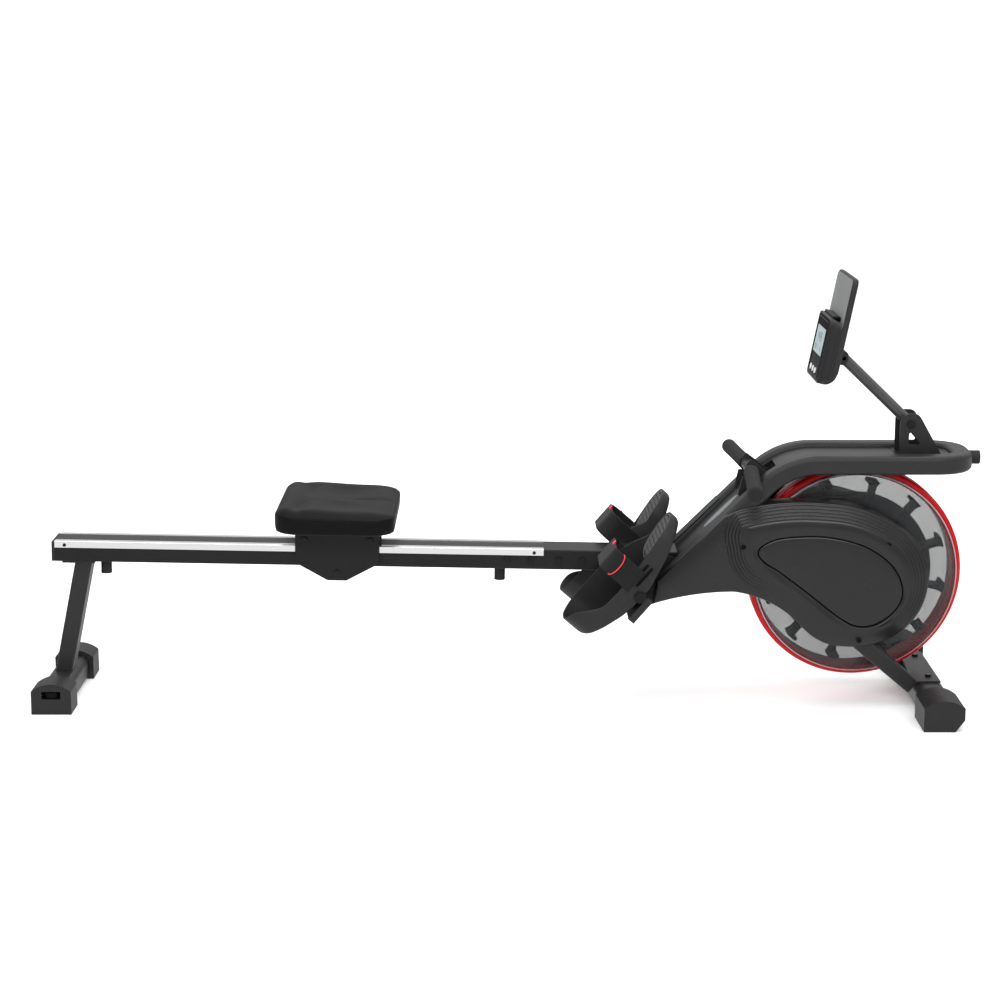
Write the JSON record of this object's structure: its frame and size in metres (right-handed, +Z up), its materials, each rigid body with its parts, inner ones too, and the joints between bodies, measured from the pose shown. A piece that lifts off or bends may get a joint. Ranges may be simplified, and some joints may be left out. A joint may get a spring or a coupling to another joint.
{
  "type": "rowing machine",
  "caption": "Indoor rower: padded seat on a low rail, pivoting pedals, strap-pulled handle on a slanted twin-tube frame, caged fan wheel and a tilting console.",
  "frame": {"origin": "on the floor, under the middle of the whole machine's box", "axes": "+X towards the fan wheel, the way the sitter faces; +Y to the sitter's left; +Z up"},
  "size_m": [1.907, 0.55, 0.8657],
  "materials": {
    "rail_paint": "satin black powder coat",
    "frame_paint": "satin black powder coat",
    "strip_steel": "polished running strip",
    "zinc_steel": "zinc plated",
    "black_plastic": "fine grained black",
    "gloss_black": "smooth black",
    "cover_plastic": "satin dark grey black",
    "grey_plastic": "satin grey",
    "red_plastic": "gloss red",
    "smoke_clear": "clear smoky",
    "screen_lcd": "grey liquid crystal window",
    "button_white": "pale rubber key",
    "foam": "closed cell foam",
    "rubber_black": "black rubber",
    "seat_cover": "grained black vinyl",
    "strap_web": "black webbing",
    "foot_web": "black webbing with red edge",
    "urethane": "hard roller urethane"
  },
  "bodies": {
    "frame": {"rail_beam": "rail_paint", "front_beam": "rail_paint", "rail_end_cap": "black_plastic", "rail_strip_right": "strip_steel", "rail_strip_left": "strip_steel", "rail_stops": "rubber_black", "rear_stabilizer": "frame_paint", "rear_foot_cap_right": "black_plastic", "rear_foot_cap_left": "black_plastic", "front_stabilizer": "frame_paint", "front_foot_cap_right": "black_plastic", "front_foot_cap_left": "black_plastic", "rear_leg": "frame_paint", "main_frame": "frame_paint", "storage_bumper": "rubber_black", "front_fork": "frame_paint", "shroud_ring": "red_plastic", "shroud_cover_right": "smoke_clear", "shroud_cover_left": "smoke_clear", "wheel_axle": "zinc_steel", "drive_belt": "rubber_black", "spool_shaft": "zinc_steel", "recoil_spring": "zinc_steel", "handle_rest": "frame_paint", "strap_lead": "strap_web", "channel_cover": "grey_plastic", "side_cover_right": "cover_plastic", "side_cover_left": "cover_plastic", "pedal_carrier": "frame_paint", "console_bracket": "frame_paint", "fasteners": "zinc_steel"},
    "seat": {"seat_carriage": "frame_paint", "seat_pad": "seat_cover"},
    "rollers_front": {"seat_rollers_front": "urethane"},
    "rollers_rear": {"seat_rollers_rear": "urethane"},
    "rollers_lower": {"seat_rollers_lower": "urethane"},
    "pedal_right": {"footplate_right": "black_plastic", "foot_strap_right": "foot_web"},
    "pedal_left": {"footplate_left": "black_plastic", "foot_strap_left": "foot_web"},
    "handle": {"handlebar": "frame_paint", "grip_right": "foam", "grip_left": "foam", "pull_strap": "strap_web"},
    "spool": {"strap_spool": "gloss_black"},
    "clutch": {"clutch_pulley": "gloss_black"},
    "guide": {"guide_roller": "gloss_black"},
    "fan": {"fan_wheel": "gloss_black", "fan_bearings": "zinc_steel"},
    "console_mast": {"mast": "frame_paint"},
    "console": {"console_body": "gloss_black", "console_screen": "screen_lcd", "tablet_rest": "grey_plastic"},
    "key_right": {"button_right": "button_white"},
    "key_middle": {"button_middle": "button_white"},
    "key_left": {"button_left": "button_white"},
    "transport_right": {"transport_wheel_right": "rubber_black"},
    "transport_left": {"transport_wheel_left": "rubber_black"},
    "level_right": {"level_wheel_right": "gloss_black"},
    "level_left": {"level_wheel_left": "gloss_black"}
  },
  "joints": [
    {"name": "seat_slide", "type": "slide", "parent": "frame", "child": "seat", "axis": [0.9998, 0, -0.0175], "range_m": [-0.455, 0.312]},
    {"name": "roller_front_spin", "type": "hinge", "parent": "seat", "child": "rollers_front", "pos_m": [-0.27875, 0, 0.33074], "axis": [0, 1, 0], "range_deg": [-2090, 1440]},
    {"name": "roller_rear_spin", "type": "hinge", "parent": "seat", "child": "rollers_rear", "pos_m": [-0.41173, 0, 0.33306], "axis": [0, 1, 0], "range_deg": [-2090, 1440]},
    {"name": "roller_lower_spin", "type": "hinge", "parent": "seat", "child": "rollers_lower", "pos_m": [-0.34643, 0, 0.26332], "axis": [0, 1, 0], "range_deg": [-1380, 2010]},
    {"name": "pedal_right_tilt", "type": "hinge", "parent": "frame", "child": "pedal_right", "pos_m": [0.25983, 0, 0.24492], "axis": [0, 1, 0], "range_deg": [0, 16]},
    {"name": "pedal_left_tilt", "type": "hinge", "parent": "frame", "child": "pedal_left", "pos_m": [0.25983, 0, 0.24492], "axis": [0, 1, 0], "range_deg": [0, 16]},
    {"name": "handle_pull", "type": "slide", "parent": "frame", "child": "handle", "axis": [-1, 0, 0], "range_m": [0, 0.95]},
    {"name": "spool_spin", "type": "hinge", "parent": "frame", "child": "spool", "pos_m": [0.43, 0, 0.288], "axis": [0, 1, 0], "range_deg": [-1565, 10]},
    {"name": "clutch_spin", "type": "hinge", "parent": "frame", "child": "clutch", "pos_m": [0.7035, 0, 0.263], "axis": [0, 1, 0], "range_deg": [-4300, 10]},
    {"name": "guide_spin", "type": "hinge", "parent": "frame", "child": "guide", "pos_m": [0.528, 0, 0.45], "axis": [0, 1, 0], "range_deg": [-4980, 10]},
    {"name": "fan_spin", "type": "hinge", "parent": "frame", "child": "fan", "pos_m": [0.7035, 0, 0.263], "axis": [0, 1, 0], "continuous": true},
    {"name": "mast_tilt", "type": "hinge", "parent": "frame", "child": "console_mast", "pos_m": [0.808, 0, 0.5665], "axis": [0, 1, 0], "range_deg": [-10, 45]},
    {"name": "console_tilt", "type": "hinge", "parent": "console_mast", "child": "console", "pos_m": [0.67166, 0, 0.69725], "axis": [0, 1, 0], "range_deg": [-20, 20]},
    {"name": "key_right_press", "type": "slide", "parent": "console", "child": "key_right", "axis": [0.9813, 0, -0.1925], "range_m": [0, 0.0012], "stiffness_N_per_m": 400},
    {"name": "key_middle_press", "type": "slide", "parent": "console", "child": "key_middle", "axis": [0.9813, 0, -0.1925], "range_m": [0, 0.0012], "stiffness_N_per_m": 400},
    {"name": "key_left_press", "type": "slide", "parent": "console", "child": "key_left", "axis": [0.9813, 0, -0.1925], "range_m": [0, 0.0012], "stiffness_N_per_m": 400},
    {"name": "transport_right_spin", "type": "hinge", "parent": "frame", "child": "transport_right", "pos_m": [0.8775, -0.225, 0.02], "axis": [0, 1, 0], "continuous": true},
    {"name": "level_right_turn", "type": "hinge", "parent": "frame", "child": "level_right", "pos_m": [-0.9135, -0.142, 0], "axis": [0, 0, 1], "range_deg": [-180, 180]},
    {"name": "transport_left_spin", "type": "hinge", "parent": "frame", "child": "transport_left", "pos_m": [0.8775, 0.225, 0.02], "axis": [0, 1, 0], "continuous": true},
    {"name": "level_left_turn", "type": "hinge", "parent": "frame", "child": "level_left", "pos_m": [-0.9135, 0.142, 0], "axis": [0, 0, 1], "range_deg": [-180, 180]}
  ],
  "couplings": [
    {"joint": "roller_front_spin", "follows": "seat_slide", "rad_per_m": 80},
    {"joint": "roller_rear_spin", "follows": "seat_slide", "rad_per_m": 80},
    {"joint": "roller_lower_spin", "follows": "seat_slide", "rad_per_m": -76.923},
    {"joint": "spool_spin", "follows": "handle_pull", "rad_per_m": -28.571},
    {"joint": "clutch_spin", "follows": "handle_pull", "rad_per_m": -78.571},
    {"joint": "guide_spin", "follows": "handle_pull", "rad_per_m": -90.909}
  ]
}
